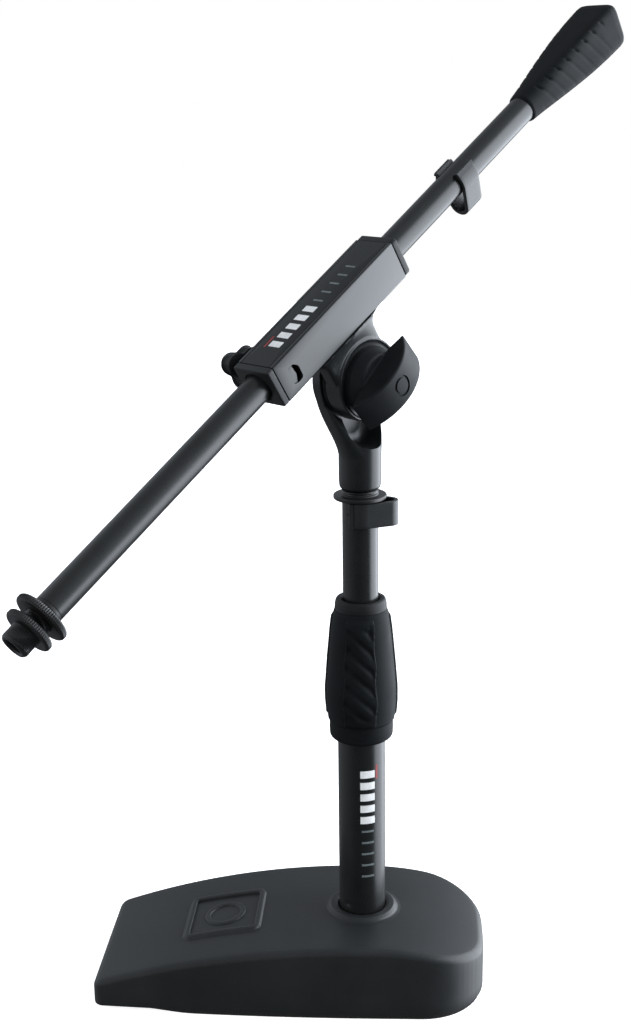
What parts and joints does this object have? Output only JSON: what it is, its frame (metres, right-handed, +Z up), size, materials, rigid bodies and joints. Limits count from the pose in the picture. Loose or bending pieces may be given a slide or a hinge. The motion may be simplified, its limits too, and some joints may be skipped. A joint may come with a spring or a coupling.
{
  "type": "desktop microphone stand",
  "caption": "Short microphone stand: heavy domed base, telescopic twist-lock mast, and a tilting, sliding boom with a threaded end, cable clips and a gripped counterweight.",
  "frame": {"origin": "on the mast axis, in the plane that the base pad rests on", "axes": "+Z up along the mast; +X along the base towards its rounded rear end; the low straight front end is towards -X"},
  "size_m": [0.3254, 0.3547, 0.5777],
  "materials": {
    "coated_cast_iron": "black epoxy powder coat over sand-cast iron, fine satin grain",
    "foot_rubber": "matt black foam rubber",
    "zinc_steel": "zinc plated steel",
    "coated_steel_tube": "black powder-coated steel tube, satin",
    "moulded_nylon": "moulded black glass-filled nylon",
    "grip_rubber": "moulded soft-touch thermoplastic rubber",
    "blackened_steel": "turned steel, black zinc plated",
    "clip_plastic": "moulded black acetal",
    "coated_die_casting": "die-cast aluminium, black satin coat",
    "friction_fibre": "pressed friction fibre",
    "brass_insert": "turned brass",
    "knob_rubber": "moulded soft-touch rubber",
    "coated_clamp_shell": "extruded aluminium, black satin coat",
    "clamp_plastic": "moulded black ABS",
    "knob_plastic": "moulded black nylon"
  },
  "bodies": {
    "base": {"base_casting": "coated_cast_iron", "base_pad": "foot_rubber", "mast_bolt": "zinc_steel", "mast_bolt_washer": "zinc_steel", "lower_tube": "coated_steel_tube", "lower_tube_plug": "zinc_steel", "clutch_sleeve": "moulded_nylon", "clutch_collet": "moulded_nylon"},
    "clutch": {"clutch_nut": "moulded_nylon", "clutch_grip": "grip_rubber", "clutch_cap": "moulded_nylon"},
    "mast": {"upper_tube": "coated_steel_tube", "upper_tube_bush": "moulded_nylon", "mast_top_stud": "blackened_steel"},
    "mast_clip": {"mast_cable_clip": "clip_plastic"},
    "head": {"boom_head": "coated_die_casting", "ear_friction_disc": "friction_fibre", "pivot_bolt": "zinc_steel"},
    "tilt_knob": {"tilt_knob_insert": "brass_insert", "tilt_knob_core": "moulded_nylon", "tilt_knob_cover": "knob_rubber"},
    "clamp": {"clamp_lug": "coated_die_casting", "lug_friction_disc": "friction_fibre", "pivot_washer": "zinc_steel", "saddle_screws": "zinc_steel", "clamp_housing": "coated_clamp_shell", "clamp_cover": "clamp_plastic", "clamp_cap_front": "clamp_plastic", "clamp_cap_rear": "clamp_plastic", "clamp_bush_front": "moulded_nylon", "clamp_bush_rear": "moulded_nylon", "clamp_shoe": "moulded_nylon", "clamp_latch": "clamp_plastic"},
    "boom_lock": {"boom_lock_stud": "zinc_steel", "boom_lock_knob": "knob_plastic"},
    "boom": {"boom_tube": "coated_steel_tube", "boom_end_stud": "blackened_steel", "counterweight": "zinc_steel", "counterweight_grip": "grip_rubber"},
    "lock_ring": {"boom_lock_ring": "blackened_steel"},
    "adapter": {"thread_adapter": "blackened_steel"},
    "boom_clip": {"boom_cable_clip": "clip_plastic"}
  },
  "joints": [
    {"name": "mast_slide", "type": "slide", "parent": "base", "child": "mast", "axis": [0, 0, 1], "range_m": [-0.042, 0.085]},
    {"name": "clutch_twist", "type": "hinge", "parent": "base", "child": "clutch", "pos_m": [0, 0, 0.2], "axis": [0, 0, 1], "range_deg": [0, 90]},
    {"name": "mast_clip_turn", "type": "hinge", "parent": "mast", "child": "mast_clip", "pos_m": [0, 0, 0.298], "axis": [0, 0, 1], "continuous": true},
    {"name": "head_swivel", "type": "hinge", "parent": "mast", "child": "head", "pos_m": [0, 0, 0.32], "axis": [0, 0, 1], "continuous": true},
    {"name": "boom_tilt", "type": "hinge", "parent": "head", "child": "clamp", "pos_m": [-0.00333, 0.00303, 0.375], "axis": [-0.7396, 0.673, 0], "range_deg": [-42, 77]},
    {"name": "tilt_knob_turn", "type": "hinge", "parent": "head", "child": "tilt_knob", "pos_m": [-0.00333, 0.00303, 0.375], "axis": [-0.7396, 0.673, 0], "range_deg": [-180, 0]},
    {"name": "boom_slide", "type": "slide", "parent": "clamp", "child": "boom", "axis": [0.5682, 0.6245, 0.5358], "range_m": [-0.04, 0.16]},
    {"name": "boom_lock_turn", "type": "hinge", "parent": "clamp", "child": "boom_lock", "pos_m": [-0.04405, -0.04172, 0.38635], "axis": [-0.7396, 0.673, 0], "range_deg": [0, 180]},
    {"name": "boom_clip_slide", "type": "slide", "parent": "boom", "child": "boom_clip", "axis": [0.5682, 0.6245, 0.5358], "range_m": [-0.02, 0.05]},
    {"name": "lock_ring_turn", "type": "hinge", "parent": "boom", "child": "lock_ring", "pos_m": [-0.14775, -0.15569, 0.28856], "axis": [0.5682, 0.6245, 0.5358], "continuous": true},
    {"name": "adapter_turn", "type": "hinge", "parent": "boom", "child": "adapter", "pos_m": [-0.15485, -0.16349, 0.28186], "axis": [0.5682, 0.6245, 0.5358], "continuous": true}
  ]
}
